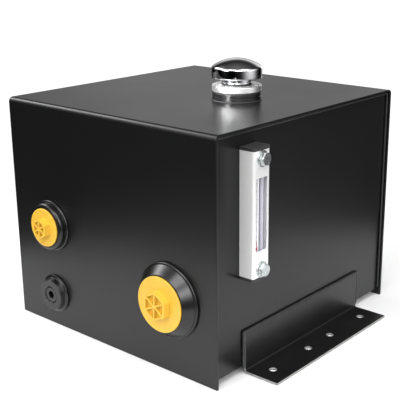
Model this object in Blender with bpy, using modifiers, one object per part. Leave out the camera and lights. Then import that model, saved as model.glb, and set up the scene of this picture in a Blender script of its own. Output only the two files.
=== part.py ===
"""Side-mount hydraulic reservoir: a welded steel tank with three capped ports, a filler
breather and a level gauge.

World frame: +X to the gauge side, +Y from the port side to the rear, +Z up. The origin is at
the centre of the whole reservoir's footprint, on the floor.
"""

import math

import bmesh
import bpy
from mathutils import Matrix, Vector

MM = 0.001
GAP = 0.3 * MM                 # air between pieces that rest on each other
HAIR = 0.00001                 # merge distance of the modifiers

# Tank
WIDTH = 345 * MM
DEPTH = 355 * MM
HEIGHT = 292 * MM
SHEET = 3 * MM
BEND_RADIUS = 6 * MM
SIDE_RECESS = 5 * MM           # side plates stand this far inside the wrapper's edges
SIDE_LIFT = 9 * MM             # underside of the side plates and of the bottom plate
PORT_REACH = 25.3 * MM         # how far the suction plug stands out of the front

FRONT_Y = (PORT_REACH - DEPTH) / 2
REAR_Y = FRONT_Y + DEPTH
MID_Y = (FRONT_Y + REAR_Y) / 2
SIDE_X = WIDTH / 2 - SIDE_RECESS
INNER_X = SIDE_X - SHEET

# Baffle between the return side and the suction side
BAFFLE_TOP = 205 * MM
BAFFLE_THICKNESS = 2.5 * MM
BAFFLE_WINDOW = (70 * MM, 38 * MM)
BAFFLE_WINDOW_Y = (-95 * MM, 95 * MM)
BAFFLE_WINDOW_Z = 42 * MM

# Mounting angles
ANGLE_LEG_UP = 51.5 * MM
ANGLE_LEG_OUT = 49 * MM
ANGLE_LENGTH = 238 * MM
ANGLE_BEND = 5 * MM
ANGLE_MID_Y = FRONT_Y + 171.5 * MM
ANGLE_HOLE_RADIUS = 4.6 * MM
ANGLE_HOLE_X = 25.5 * MM       # from the side plate
ANGLE_HOLE_Y = (-95.25 * MM, -23.8 * MM, 23.8 * MM, 95.25 * MM)

# Ports on the front: distance from the tank's centre plane, and height
PORT_X = 101.3 * MM
SUCTION_Z = 90.6 * MM
RETURN_Z = 136.8 * MM
DRAIN_Z = 44.5 * MM
SPIGOT_DEPTH = 9 * MM          # how far a bung reaches behind the front sheet's face
SUCTION_SPIGOT = 35.5 * MM
RETURN_SPIGOT = 26 * MM
DRAIN_SPIGOT = 16 * MM
SUCTION_FACE = 15 * MM         # how far a bung's face stands out of the front
RETURN_FACE = 11.7 * MM
DRAIN_FACE = 9.6 * MM
PIPE_2_INCH = 60.3 * MM
PIPE_1_1_4_INCH = 42.2 * MM
PIPE_1_2_INCH = 21.3 * MM
SOCKET_FLATS = 9.5 * MM
PORT_HOLES = (("suction", PORT_X, SUCTION_Z, SUCTION_SPIGOT),
              ("return", -PORT_X, RETURN_Z, RETURN_SPIGOT),
              ("drain", -PORT_X, DRAIN_Z, DRAIN_SPIGOT))

# Moulded plugs: a flange over the bung's face and a hollow hexagonal head
SUCTION_FLANGE = 33.3 * MM
SUCTION_HEAD = 19 * MM         # from the axis to the head's corners
SUCTION_TURN = math.radians(-4)
RETURN_FLANGE = 24.6 * MM
RETURN_HEAD = 14 * MM
RETURN_REACH = 21.7 * MM
FLANGE_THICKNESS = 2 * MM
HEAD_DRAFT = 0.06              # share that the head narrows by towards its top
HEAD_WALL = 2.2 * MM
HEAD_RIB = 2 * MM
POCKET_DEPTH = 4 * MM
WEB_DEPTH = 5 * MM             # the plug's inside, behind the flange's face
PLUG_BACK = -3 * MM            # a plug's inner end, behind the front sheet's face
PLUG_SKIRT = 1.8 * MM

# Filler neck and breather cap
FILLER_X = 59 * MM
FILLER_Y = MID_Y - 5.5 * MM
NECK_RADIUS = 30.5 * MM
NECK_BORE = 20.3 * MM
NECK_SPIGOT = 24.5 * MM
NECK_HEIGHT = 9.4 * MM
GASKET_TOP = 11.1 * MM
FLANGE_TOP = 18.7 * MM
FLANGE_RADIUS = 30.8 * MM
FLANGE_BORE = 16 * MM
SCREW_CIRCLE = 26.4 * MM
SCREW_COUNT = 3
SCREW_TURN = math.radians(130)
BASKET_RADIUS = 19.2 * MM
BASKET_RIM = 22.2 * MM
RIM_SEAT = 22.6 * MM           # radius of the flange's recess over the basket's rim
GASKET_BORE = 21.3 * MM
BASKET_DEPTH = 58 * MM
WAIST_RADIUS = 19 * MM
WAIST_TOP = 42 * MM
WAIST_BOTTOM = 20.4 * MM
CAP_RADIUS = 31.5 * MM
SKIRT_BOTTOM = 27.5 * MM
CAP_TOP = 51 * MM
DOME_RADIUS = 53 * MM
KNUCKLE = 4 * MM               # rounding between the dome and the skirt
CAP_WALL = 1 * MM

# Level gauge on the right side plate
GAUGE_Y = FRONT_Y + 58.3 * MM
GAUGE_Z = 196 * MM
GAUGE_PITCH = 127 * MM
GAUGE_WIDTH = 28.5 * MM
GAUGE_REACH = 20.2 * MM
GAUGE_LENGTH = 145 * MM
GAUGE_WALL = 1.8 * MM
GAUGE_WINDOW = (19.5 * MM, 84 * MM)
GAUGE_CAP = 3.6 * MM
BOLT_RADIUS = 4.9 * MM
BOLT_HEAD_FLATS = 14 * MM
BOLT_HEAD_HEIGHT = 5 * MM
HEX_RADIUS = BOLT_HEAD_FLATS / math.sqrt(3)
CHAMFER_SLOPE = 0.55           # of the cone that takes the head's corners off
WASHER_RADIUS = 9.2 * MM
WASHER_THICKNESS = 1.4 * MM
WASHER_FACE = GAUGE_REACH + GAP
HEAD_FACE = WASHER_FACE + WASHER_THICKNESS + GAP
TUBE_RADIUS = 2.7 * MM
TUBE_BORE = 1.8 * MM
TUBE_AT = (13 * MM, 8 * MM)     # out from the side plate, and to the rear of the bolts
BLOCK_OUTER = GAUGE_LENGTH / 2 - 3.6 * MM
BLOCK_INNER = GAUGE_WINDOW[1] / 2 + 6 * MM
SCALE_FACE = 15 * MM            # out from the side plate
SCALE_THICKNESS = 1.2 * MM
SCALE_EDGE = 1.4 * MM           # rear edge of the scale, from the bolts' centre line
THERMOMETER = (SIDE_X + 16.7 * MM, GAUGE_Y - 4.4 * MM, GAUGE_Z)
BULB_LENGTH = 6 * MM

TOWARDS_FRONT = (math.radians(90), 0, 0)       # local +Z to world -Y
TOWARDS_RIGHT = (0, math.radians(90), 0)       # local +Z to world +X

ROUND = 36                     # segments of a large turned piece
HIDDEN_ROUND = 28              # of a large one that the cap or the tank hides
SMALL_ROUND = 16


def clear_scene():
    for item in list(bpy.data.objects):
        bpy.data.objects.remove(item, do_unlink=True)


def collection(name):
    made = bpy.data.collections.new(name)
    bpy.context.scene.collection.children.link(made)
    return made


def material(name, colour, roughness, metallic=0.0, transmission=0.0):
    made = bpy.data.materials.new(name)
    made.use_nodes = True
    shader = made.node_tree.nodes["Principled BSDF"]
    shader.inputs["Base Color"].default_value = (*colour, 1.0)
    shader.inputs["Roughness"].default_value = roughness
    shader.inputs["Metallic"].default_value = metallic
    shader.inputs["Transmission Weight"].default_value = transmission
    return made


def black_paint(name):
    return material(name, (0.022, 0.022, 0.024), 0.32)


def chrome(name):
    return material(name, (0.78, 0.78, 0.80), 0.06, 1.0)


def zinc(name):
    return material(name, (0.62, 0.64, 0.64), 0.3, 1.0)


def bright_steel(name):
    return material(name, (0.80, 0.80, 0.79), 0.22, 1.0)


def yellow_plastic(name):
    return material(name, (0.95, 0.58, 0.06), 0.4)


def black_rubber(name):
    return material(name, (0.02, 0.02, 0.02), 0.65)


def place(name, mesh, look=None, location=(0, 0, 0), rotation=(0, 0, 0), smooth=True):
    item = bpy.data.objects.new(name, mesh)
    item.location = location
    item.rotation_euler = rotation
    if look is None:
        CUTTERS.objects.link(item)
        item.hide_render = True
        item.display_type = "WIRE"
        return item
    mesh.materials.append(look)
    PARTS.objects.link(item)
    if smooth:
        mesh.shade_smooth()
        mesh.set_sharp_from_angle(angle=math.radians(35))
    return item


def box_mesh(name, size, centre=(0, 0, 0)):
    bm = bmesh.new()
    bmesh.ops.create_cube(bm, size=1.0)
    bmesh.ops.scale(bm, vec=Vector(size), verts=bm.verts)
    bmesh.ops.translate(bm, vec=Vector(centre), verts=bm.verts)
    return finish_mesh(bm, name)


def rod_mesh(name, radius, length, segments=SMALL_ROUND, centre=(0, 0, 0), radius_top=None):
    """A cylinder along Z, or a cone when the second radius differs."""
    bm = bmesh.new()
    top = radius if radius_top is None else radius_top
    bmesh.ops.create_cone(bm, cap_ends=True, segments=segments, radius1=radius, radius2=top,
                          depth=length)
    bmesh.ops.translate(bm, vec=Vector(centre), verts=bm.verts)
    return finish_mesh(bm, name)


def finish_mesh(bm, name):
    mesh = bpy.data.meshes.new(name)
    bm.to_mesh(mesh)
    bm.free()
    return mesh


def turned(name, profile, look, location, rotation=(0, 0, 0), steps=ROUND, ring=False):
    """A solid turned about its local Z from (radius, height) points, down the outer side."""
    bm = bmesh.new()
    corners = [bm.verts.new((radius, 0, height)) for radius, height in profile]
    pairs = list(zip(corners, corners[1:]))
    if ring:
        pairs.append((corners[-1], corners[0]))
    for first, second in pairs:
        bm.edges.new((first, second))
    item = place(name, finish_mesh(bm, name), look, location, rotation, smooth=False)
    screw = item.modifiers.new("Turn", "SCREW")
    screw.steps = steps
    screw.render_steps = steps
    screw.use_merge_vertices = True
    screw.merge_threshold = HAIR
    screw.use_smooth_shade = True
    return item


def cut(item, cutter, operation="DIFFERENCE"):
    boolean = item.modifiers.new("Cut", "BOOLEAN")
    boolean.operation = operation
    boolean.solver = "EXACT"
    boolean.object = cutter
    return item


def round_edges(item, width, segments=2, angle=40):
    bevel = item.modifiers.new("Round", "BEVEL")
    bevel.width = width
    bevel.segments = segments
    bevel.limit_method = "ANGLE"
    bevel.angle_limit = math.radians(angle)
    return item


def folded_sheet(name, outline, run, bend, segments, look):
    """A sheet bent at the outline's inner corners: its outer face, drawn out along a run."""
    bm = bmesh.new()
    corners = [bm.verts.new(point) for point in outline]
    edges = [bm.edges.new(pair) for pair in zip(corners, corners[1:])]
    drawn = bmesh.ops.extrude_edge_only(bm, edges=edges)["geom"]
    moved = [piece for piece in drawn if isinstance(piece, bmesh.types.BMVert)]
    bmesh.ops.translate(bm, vec=Vector(run), verts=moved)
    bmesh.ops.recalc_face_normals(bm, faces=bm.faces)
    item = place(name, finish_mesh(bm, name), look)
    round_edges(item, bend, segments, angle=30)
    solid = item.modifiers.new("Thickness", "SOLIDIFY")
    solid.thickness = SHEET
    solid.offset = -1
    solid.use_even_offset = True
    return item


def drill(item, name, radius, length, centre, rotation=(0, 0, 0), segments=SMALL_ROUND):
    """Cuts a round hole, along the local Z of its rotation, through an item."""
    cutter = place(name, rod_mesh(name, radius, length, segments), None, centre, rotation)
    return cut(item, cutter)


# Tank shell

def wrapper_shell(look):
    half = WIDTH / 2
    outline = [(-half, FRONT_Y, 0), (-half, FRONT_Y, HEIGHT),
               (-half, REAR_Y, HEIGHT), (-half, REAR_Y, 0)]
    item = folded_sheet("wrapper_shell", outline, (WIDTH, 0, 0), BEND_RADIUS, 5, look)
    for name, x, z, spigot in PORT_HOLES:
        drill(item, name + "_hole", spigot + GAP, 20 * MM, (x, FRONT_Y, z), TOWARDS_FRONT, ROUND)
    drill(item, "filler_hole", NECK_SPIGOT + GAP, 20 * MM, (FILLER_X, FILLER_Y, HEIGHT),
          segments=ROUND)
    return item


def side_plate(name, side, look):
    """A side plate between the front and rear sheets, its top corners following the bends."""
    depth = DEPTH - 2 * (SHEET + GAP)
    top = HEIGHT - SHEET - GAP
    centre = (side * (SIDE_X - SHEET / 2), MID_Y, (SIDE_LIFT + top) / 2)
    mesh = box_mesh(name, (SHEET, depth, top - SIDE_LIFT), centre)
    bm = bmesh.new()
    bm.from_mesh(mesh)
    upper = [edge for edge in bm.edges
             if all(vert.co.z > HEIGHT / 2 for vert in edge.verts)
             and abs(edge.verts[0].co.x - edge.verts[1].co.x) > SHEET / 2]
    bmesh.ops.bevel(bm, geom=upper, offset=BEND_RADIUS - SHEET, segments=4, profile=0.5,
                    affect="EDGES")
    bm.to_mesh(mesh)
    bm.free()
    return place(name, mesh, look)


def right_side_plate(look):
    item = side_plate("right_side_plate", 1, look)
    for side in (-1, 1):
        gauge_bore(item, side, BOLT_RADIUS + 2 * GAP)
    return item


def bottom_plate(look):
    size = (2 * (INNER_X - GAP), DEPTH - 2 * (SHEET + GAP), SHEET)
    return place("bottom_plate", box_mesh("bottom_plate", size),
                 look, (0, MID_Y, SIDE_LIFT + SHEET / 2))


def baffle_plate(look):
    bottom = SIDE_LIFT + SHEET + GAP
    size = (BAFFLE_THICKNESS, DEPTH - 2 * (SHEET + GAP), BAFFLE_TOP - bottom)
    item = place("baffle_plate", box_mesh("baffle_plate", size),
                 look, (0, MID_Y, (BAFFLE_TOP + bottom) / 2))
    wide, tall = BAFFLE_WINDOW
    for index, offset in enumerate(BAFFLE_WINDOW_Y):
        mesh = box_mesh("baffle_window", (20 * MM, wide, tall))
        cut(item, place(f"baffle_window_{index}", mesh, None,
                        (0, MID_Y + offset, BAFFLE_WINDOW_Z)))
    return item


def mount_angle(name, side, look):
    inner = side * (SIDE_X + GAP)
    outer = side * (SIDE_X + ANGLE_LEG_OUT)
    start = ANGLE_MID_Y - ANGLE_LENGTH / 2
    outline = [(inner, start, ANGLE_LEG_UP), (inner, start, 0), (outer, start, 0)]
    item = folded_sheet(name, outline, (0, ANGLE_LENGTH, 0), ANGLE_BEND, 5, look)
    for index, offset in enumerate(ANGLE_HOLE_Y):
        centre = (side * (SIDE_X + ANGLE_HOLE_X), ANGLE_MID_Y + offset, 0)
        drill(item, f"{name}_hole_{index}", ANGLE_HOLE_RADIUS, 20 * MM, centre)
    return item


def seam_weld(name, side, look):
    """A bead along the front, top and rear of a side plate, in the wrapper's recess."""
    bead = 1.4 * MM
    inset = SHEET + GAP + bead
    turn = BEND_RADIUS - inset + bead
    front, rear, top = FRONT_Y + inset, REAR_Y - inset, HEIGHT - inset
    x = side * (SIDE_X + GAP + bead)
    path = [(x, front, SIDE_LIFT + bead)]
    for centre_y, first in ((front + turn, 180), (rear - turn, 90)):
        for step in range(5):
            angle = math.radians(first - 90 * step / 4)
            path.append((x, centre_y + turn * math.cos(angle), top - turn + turn * math.sin(angle)))
    path.append((x, rear, SIDE_LIFT + bead))
    return round_wire(name, path, bead, look)


def round_wire(name, path, radius, look):
    """A round bar along a path, as a curve with filled ends."""
    curve = bpy.data.curves.new(name, "CURVE")
    curve.dimensions = "3D"
    curve.bevel_depth = radius
    curve.bevel_resolution = 1
    curve.use_fill_caps = True
    spline = curve.splines.new("POLY")
    spline.points.add(len(path) - 1)
    for point, position in zip(spline.points, path):
        point.co = (*position, 1)
    curve.materials.append(look)
    item = bpy.data.objects.new(name, curve)
    PARTS.objects.link(item)
    return item


def angle_weld(name, side, end, look):
    """An upright bead at one end of an angle."""
    bead = 1.5 * MM
    low, high = 6 * MM, ANGLE_LEG_UP - 1 * MM
    place_at = (side * (SIDE_X + GAP + bead),
                ANGLE_MID_Y + end * (ANGLE_LENGTH / 2 + GAP + bead), (high + low) / 2)
    return place(name, rod_mesh(name, bead, high - low, 12), look, place_at)


# Ports. A profile's heights run out from the front sheet's face.

def port(name, x, z, profile, look, steps=ROUND, ring=True):
    return turned(name, profile, look, (x, FRONT_Y, z), TOWARDS_FRONT, steps, ring)


def suction_bung(look):
    bore = PIPE_2_INCH / 2
    profile = [(34.4 * MM, SUCTION_FACE), (43.4 * MM, 4.6 * MM), (43.4 * MM, 3.8 * MM),
               (45 * MM, 3.8 * MM), (45.7 * MM, 3.1 * MM), (45.7 * MM, GAP),
               (SUCTION_SPIGOT, GAP), (SUCTION_SPIGOT, -SPIGOT_DEPTH), (bore, -SPIGOT_DEPTH),
               (bore, SUCTION_FACE - 1 * MM), (bore + 1 * MM, SUCTION_FACE)]
    return port("suction_bung", PORT_X, SUCTION_Z, profile, look)


def return_bung(look):
    bore = PIPE_1_1_4_INCH / 2
    rounding = 4.4 * MM
    edge = 30.4 * MM
    shoulder = [(edge - rounding * (1 - math.sin(angle)),
                 RETURN_FACE - rounding * (1 - math.cos(angle)))
                for angle in (0, math.pi / 6, math.pi / 3, math.pi / 2)]
    profile = shoulder + [(edge, 4.4 * MM), (29.8 * MM, 3.6 * MM), (32 * MM, 3.6 * MM),
                          (32.8 * MM, 2.7 * MM), (32.8 * MM, GAP), (RETURN_SPIGOT, GAP),
                          (RETURN_SPIGOT, -SPIGOT_DEPTH), (bore, -SPIGOT_DEPTH),
                          (bore, RETURN_FACE - 1 * MM), (bore + 1 * MM, RETURN_FACE)]
    return port("return_bung", -PORT_X, RETURN_Z, profile, look)


def drain_bung(look):
    bore = PIPE_1_2_INCH / 2
    profile = [(19.3 * MM, DRAIN_FACE), (19.8 * MM, DRAIN_FACE - 0.5 * MM), (22 * MM, 3.6 * MM),
               (24.4 * MM, 2 * MM), (24.9 * MM, 1.2 * MM), (24.9 * MM, GAP), (DRAIN_SPIGOT, GAP),
               (DRAIN_SPIGOT, -SPIGOT_DEPTH), (bore, -SPIGOT_DEPTH),
               (bore, DRAIN_FACE - 1 * MM), (bore + 1 * MM, DRAIN_FACE)]
    return port("drain_bung", -PORT_X, DRAIN_Z, profile, look)


def pipe_plug(name, x, z, bore, face, flange, reach, corner, turn, look):
    """A moulded plug: a flange over the bung's face, a hollow skirt and a ribbed hexagon head."""
    skirt = bore - GAP
    front = face + GAP + FLANGE_THICKNESS
    web = front - WEB_DEPTH
    profile = [(0, front), (flange - 0.6 * MM, front), (flange, front - 0.6 * MM),
               (flange, face + GAP), (skirt, face + GAP), (skirt - 0.4 * MM, PLUG_BACK),
               (skirt - PLUG_SKIRT, PLUG_BACK), (skirt - PLUG_SKIRT, web), (0, web)]
    item = port(name, x, z, profile, look, ring=False)
    low = front - 1 * MM
    head = rod_mesh(name + "_head", corner, reach - low, 6, (0, 0, (reach + low) / 2),
                    corner * (1 - HEAD_DRAFT))
    head.transform(Matrix.Rotation(math.radians(30) + turn, 4, "Z"))
    cut(item, port_cutter(name + "_head", x, z, head), "UNION")
    top_flats = corner * (1 - HEAD_DRAFT) * math.cos(math.radians(30))
    pockets = wedge_pockets(name + "_pockets", top_flats, reach - POCKET_DEPTH, reach, turn)
    return cut(item, port_cutter(name + "_pockets", x, z, pockets))


def port_cutter(name, x, z, mesh):
    return place(name, mesh, None, (x, FRONT_Y, z), TOWARDS_FRONT)


def wedge_pockets(name, flats, floor, top, turn):
    """Six triangular prisms that leave the head's wall and the ribs to its corners."""
    size = (flats - HEAD_WALL - HEAD_RIB) * 2 / 3
    out = HEAD_RIB + size
    depth = top - floor + 4 * MM
    bm = bmesh.new()
    for index in range(6):
        angle = math.radians(60 * index) + turn
        centre = (out * math.cos(angle), out * math.sin(angle), floor + depth / 2)
        bmesh.ops.create_cone(bm, cap_ends=True, segments=3, radius1=size, radius2=size,
                              depth=depth, matrix=Matrix.Translation(centre)
                              @ Matrix.Rotation(angle + math.pi / 2, 4, "Z"))
    return finish_mesh(bm, name)


def suction_plug(look):
    return pipe_plug("suction_plug", PORT_X, SUCTION_Z, PIPE_2_INCH / 2, SUCTION_FACE,
                     SUCTION_FLANGE, PORT_REACH, SUCTION_HEAD, SUCTION_TURN, look)


def return_plug(look):
    return pipe_plug("return_plug", -PORT_X, RETURN_Z, PIPE_1_1_4_INCH / 2, RETURN_FACE,
                     RETURN_FLANGE, RETURN_REACH, RETURN_HEAD, 0, look)


def drain_plug(look):
    radius = PIPE_1_2_INCH / 2 - GAP
    face = DRAIN_FACE - 0.8 * MM
    profile = [(0, face), (radius - 0.8 * MM, face), (radius, face - 0.8 * MM),
               (radius - 0.5 * MM, -7 * MM), (0, -7 * MM)]
    item = port("drain_plug", -PORT_X, DRAIN_Z, profile, look, 36, ring=False)
    socket = rod_mesh("drain_socket", SOCKET_FLATS / math.sqrt(3), 20 * MM, 6,
                      (0, 0, face + 2 * MM))
    return cut(item, place("drain_socket", socket, None, (-PORT_X, FRONT_Y, DRAIN_Z),
                           TOWARDS_FRONT))


def drain_magnet(look):
    mesh = rod_mesh("drain_magnet", 6 * MM, 14 * MM, SMALL_ROUND, (0, 0, -7 * MM - GAP - 7 * MM))
    return place("drain_magnet", mesh, look, (-PORT_X, FRONT_Y, DRAIN_Z), TOWARDS_FRONT)


# Filler. A profile's heights run up from the tank's top face.

def filler(name, profile, look, steps=ROUND, ring=True):
    return turned(name, profile, look, (FILLER_X, FILLER_Y, HEIGHT), (0, 0, 0), steps, ring)


def screw_places():
    for index in range(SCREW_COUNT):
        angle = SCREW_TURN + math.tau * index / SCREW_COUNT
        yield index, FILLER_X + SCREW_CIRCLE * math.cos(angle), \
            FILLER_Y + SCREW_CIRCLE * math.sin(angle)


def screw_holes(item, radius, low, high):
    for index, x, y in screw_places():
        drill(item, f"{item.name}_screw_hole_{index}", radius, high - low,
              (x, y, HEIGHT + (low + high) / 2), segments=12)
    return item


def filler_neck(look):
    groove = 0.6 * MM
    profile = [(NECK_RADIUS - 0.6 * MM, NECK_HEIGHT), (NECK_RADIUS, NECK_HEIGHT - 0.6 * MM),
               (NECK_RADIUS, 6.4 * MM), (NECK_RADIUS - groove, 6 * MM),
               (NECK_RADIUS - groove, 5.2 * MM), (NECK_RADIUS, 4.8 * MM), (NECK_RADIUS, GAP),
               (NECK_SPIGOT, GAP), (NECK_SPIGOT, -6 * MM), (NECK_BORE, -6 * MM),
               (NECK_BORE, NECK_HEIGHT)]
    return screw_holes(filler("filler_neck", profile, look), 2.3 * MM, 1 * MM, 12 * MM)


def neck_weld(look):
    leg = 1.3 * MM
    inner = NECK_RADIUS + GAP
    profile = [(inner, GAP + leg), (inner + 0.7 * leg, GAP + 0.7 * leg), (inner + leg, GAP),
               (inner, GAP)]
    return filler("neck_weld", profile, look)


def neck_gasket(look):
    low, high = NECK_HEIGHT + GAP, GASKET_TOP
    profile = [(NECK_RADIUS, high), (NECK_RADIUS, low), (GASKET_BORE, low), (GASKET_BORE, high)]
    return screw_holes(filler("neck_gasket", profile, look), 2.6 * MM, 5 * MM, 15 * MM)


def filler_flange(look):
    low = GASKET_TOP + GAP
    edge = 0.8 * MM
    profile = [(FLANGE_RADIUS - edge, FLANGE_TOP), (FLANGE_RADIUS, FLANGE_TOP - edge),
               (FLANGE_RADIUS, low + 0.4 * MM), (FLANGE_RADIUS - 0.4 * MM, low),
               (RIM_SEAT, low), (RIM_SEAT, low + 1.4 * MM),
               (FLANGE_BORE, low + 1.4 * MM), (FLANGE_BORE, FLANGE_TOP)]
    item = screw_holes(filler("filler_flange", profile, look), 2.6 * MM, 9 * MM, 20 * MM)
    for index, x, y in screw_places():
        head = rod_mesh("countersink", 2.6 * MM, 4 * MM, 12, radius_top=5.6 * MM)
        cut(item, place(f"countersink_{index}", head, None, (x, y, HEIGHT + FLANGE_TOP - 1 * MM)))
    return item


def flange_screw(name, x, y, look):
    """A countersunk screw, flush with the flange."""
    head, shank = 3.9 * MM, 2 * MM
    profile = [(0, FLANGE_TOP - GAP), (head, FLANGE_TOP - GAP), (shank, 15.6 * MM),
               (shank, 2 * MM), (0, 2 * MM)]
    return turned(name, profile, look, (x, y, HEIGHT), steps=12)


def strainer_basket(look):
    """A plain cup, clamped by its rim under the flange."""
    rim = GASKET_TOP + GAP
    wall = 1 * MM
    bottom = -BASKET_DEPTH
    profile = [(0, bottom + wall), (BASKET_RADIUS - wall, bottom + wall),
               (BASKET_RADIUS - wall, rim + wall), (BASKET_RIM, rim + wall), (BASKET_RIM, rim),
               (BASKET_RADIUS, rim), (BASKET_RADIUS, bottom), (0, bottom)]
    return filler("strainer_basket", profile, look, HIDDEN_ROUND, ring=False)


def cap_gasket(look):
    low, high = FLANGE_TOP + GAP, WAIST_BOTTOM - GAP
    profile = [(WAIST_RADIUS - 0.3 * MM, high), (WAIST_RADIUS - 0.3 * MM, low),
               (FLANGE_BORE - 1 * MM, low), (FLANGE_BORE - 1 * MM, high)]
    return filler("cap_gasket", profile, look, HIDDEN_ROUND)


def cap_waist(look):
    """The cap's lower cup: it seals on the flange and holds the breather element."""
    wall = 1.2 * MM
    top = WAIST_TOP
    profile = [(WAIST_RADIUS, top), (WAIST_RADIUS, WAIST_BOTTOM + 1 * MM),
               (WAIST_RADIUS - 1 * MM, WAIST_BOTTOM), (4 * MM, WAIST_BOTTOM),
               (4 * MM, WAIST_BOTTOM + wall), (WAIST_RADIUS - wall, WAIST_BOTTOM + wall),
               (WAIST_RADIUS - wall, top)]
    return filler("cap_waist", profile, look, HIDDEN_ROUND)


def filter_retainer(look):
    low = SKIRT_BOTTOM + 0.5 * MM
    inner, outer = WAIST_RADIUS + GAP, CAP_RADIUS - CAP_WALL - GAP
    profile = [(outer, low + 1 * MM), (outer, low), (inner, low), (inner, low + 1 * MM)]
    item = filler("filter_retainer", profile, look, HIDDEN_ROUND)
    middle = (inner + outer) / 2
    for index in range(8):
        angle = math.tau * (index + 0.3) / 8
        centre = (FILLER_X + middle * math.cos(angle), FILLER_Y + middle * math.sin(angle),
                  HEIGHT + low)
        drill(item, f"retainer_hole_{index}", 3 * MM, 6 * MM, centre, segments=8)
    return item


def breather_element(look):
    low = SKIRT_BOTTOM + 0.5 * MM + 1 * MM + GAP
    inner, outer = WAIST_RADIUS + GAP, CAP_RADIUS - CAP_WALL - 1 * MM
    profile = [(outer, 39 * MM), (outer, low), (inner, low), (inner, 39 * MM)]
    return filler("breather_element", profile, look, HIDDEN_ROUND)


def dome_height(radius, ball):
    """Height of the dome's surface at a distance from the axis, for its inner or outer ball."""
    return CAP_TOP - DOME_RADIUS + math.sqrt(ball ** 2 - radius ** 2)


def breather_cap(look):
    """Domed cap with a plain skirt, open below."""
    edge = CAP_RADIUS - KNUCKLE
    outer = [(edge * step / 4, dome_height(edge * step / 4, DOME_RADIUS)) for step in range(5)]
    corner = outer[-1][1] - KNUCKLE * 0.86
    for degrees in (50, 25, 0):
        angle = math.radians(degrees)
        outer.append((edge + KNUCKLE * math.cos(angle), corner + KNUCKLE * math.sin(angle)))
    ball = DOME_RADIUS - CAP_WALL
    inside = edge - 0.5 * MM
    inner = [(CAP_RADIUS - CAP_WALL, SKIRT_BOTTOM),
             (CAP_RADIUS - CAP_WALL, corner - 0.5 * MM)]
    inner += [(inside * step / 3, dome_height(inside * step / 3, ball)) for step in (3, 2, 1, 0)]
    profile = outer + [(CAP_RADIUS, SKIRT_BOTTOM)] + inner
    return filler("breather_cap", profile, look, ring=False)


def cap_rivet(look):
    """The central rod that ties the waist to the dome."""
    top = CAP_TOP - CAP_WALL - GAP
    low = WAIST_BOTTOM - 2 * MM
    shank, head = 3 * MM, 7 * MM
    seat = WAIST_BOTTOM - GAP
    profile = [(0, top), (shank, top - 0.2 * MM), (shank, seat), (head, seat), (head, low),
               (0, low)]
    return filler("cap_rivet", profile, look, SMALL_ROUND, ring=False)


# Level gauge. Local X is out from the side plate, local Z is along the gauge.

def gauge_box(name, look, low, high, wide, long, shift_y=0.0, shift_z=0.0):
    size = (high - low, wide, long)
    mesh = box_mesh(name, size, ((low + high) / 2, shift_y, shift_z))
    return place(name, mesh, look, (SIDE_X, GAUGE_Y, GAUGE_Z))


def gauge_bore(item, side, radius):
    """Drills an item at the upper or the lower bolt."""
    centre = (SIDE_X, GAUGE_Y, GAUGE_Z + side * GAUGE_PITCH / 2)
    return drill(item, f"{item.name}_bore_{side}", radius, 60 * MM, centre, TOWARDS_RIGHT)


def gauge_housing(look):
    """A metal channel with its open side to the tank, bolt holes and a long window."""
    item = gauge_box("gauge_housing", look, GAP, GAUGE_REACH, GAUGE_WIDTH, GAUGE_LENGTH)
    round_upright_edges(item, 2.6 * MM)
    inside = gauge_box("housing_inside", None, -5 * MM, GAUGE_REACH - GAUGE_WALL,
                       GAUGE_WIDTH - 2 * GAUGE_WALL, GAUGE_LENGTH + 10 * MM)
    cut(item, inside)
    wide, tall = GAUGE_WINDOW
    cut(item, gauge_box("housing_window", None, 5 * MM, 40 * MM, wide, tall))
    for side in (-1, 1):
        gauge_bore(item, side, BOLT_RADIUS + GAP)
    return item


def round_upright_edges(item, radius):
    """Rounds the two upright edges on a gauge piece's outer side."""
    bm = bmesh.new()
    bm.from_mesh(item.data)
    reach = max(vert.co.x for vert in bm.verts)
    upright = [edge for edge in bm.edges
               if all(abs(vert.co.x - reach) < HAIR for vert in edge.verts)
               and abs(edge.verts[0].co.z - edge.verts[1].co.z) > HAIR]
    bmesh.ops.bevel(bm, geom=upright, offset=radius, segments=4, profile=0.5, affect="EDGES")
    bm.to_mesh(item.data)
    bm.free()


def gauge_cap(name, side, over, look):
    """An end cap with a spigot that fits inside the housing, standing out past its faces."""
    middle = side * (GAUGE_LENGTH / 2 + GAP + GAUGE_CAP / 2)
    item = gauge_box(name, look, GAP, GAUGE_REACH + over, GAUGE_WIDTH + 2 * over, GAUGE_CAP,
                     shift_z=middle)
    round_upright_edges(item, 3 * MM)
    deep = 3 * MM
    spigot = gauge_box(name + "_spigot", None, 2.6 * MM, GAUGE_REACH - GAUGE_WALL - GAP,
                       GAUGE_WIDTH - 2 * GAUGE_WALL - 2 * GAP, deep + 1 * MM,
                       shift_z=side * (GAUGE_LENGTH / 2 - deep / 2 + 0.5 * MM))
    return cut(item, spigot, "UNION")


def gauge_end_block(name, side, look):
    """A drilled block that carries a bolt and one end of the sight tube."""
    item = gauge_box(name, look, 2.4 * MM, GAUGE_REACH - GAUGE_WALL - GAP,
                     GAUGE_WIDTH - 2 * GAUGE_WALL - 2 * GAP, BLOCK_OUTER - BLOCK_INNER,
                     shift_z=side * (BLOCK_OUTER + BLOCK_INNER) / 2)
    gauge_bore(item, side, BOLT_RADIUS + GAP)
    out, along = TUBE_AT
    centre = (SIDE_X + out, GAUGE_Y + along, GAUGE_Z + side * (GAUGE_PITCH / 2 - 15 * MM))
    return drill(item, name + "_tube_seat", TUBE_RADIUS + GAP, 24 * MM, centre)


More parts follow.
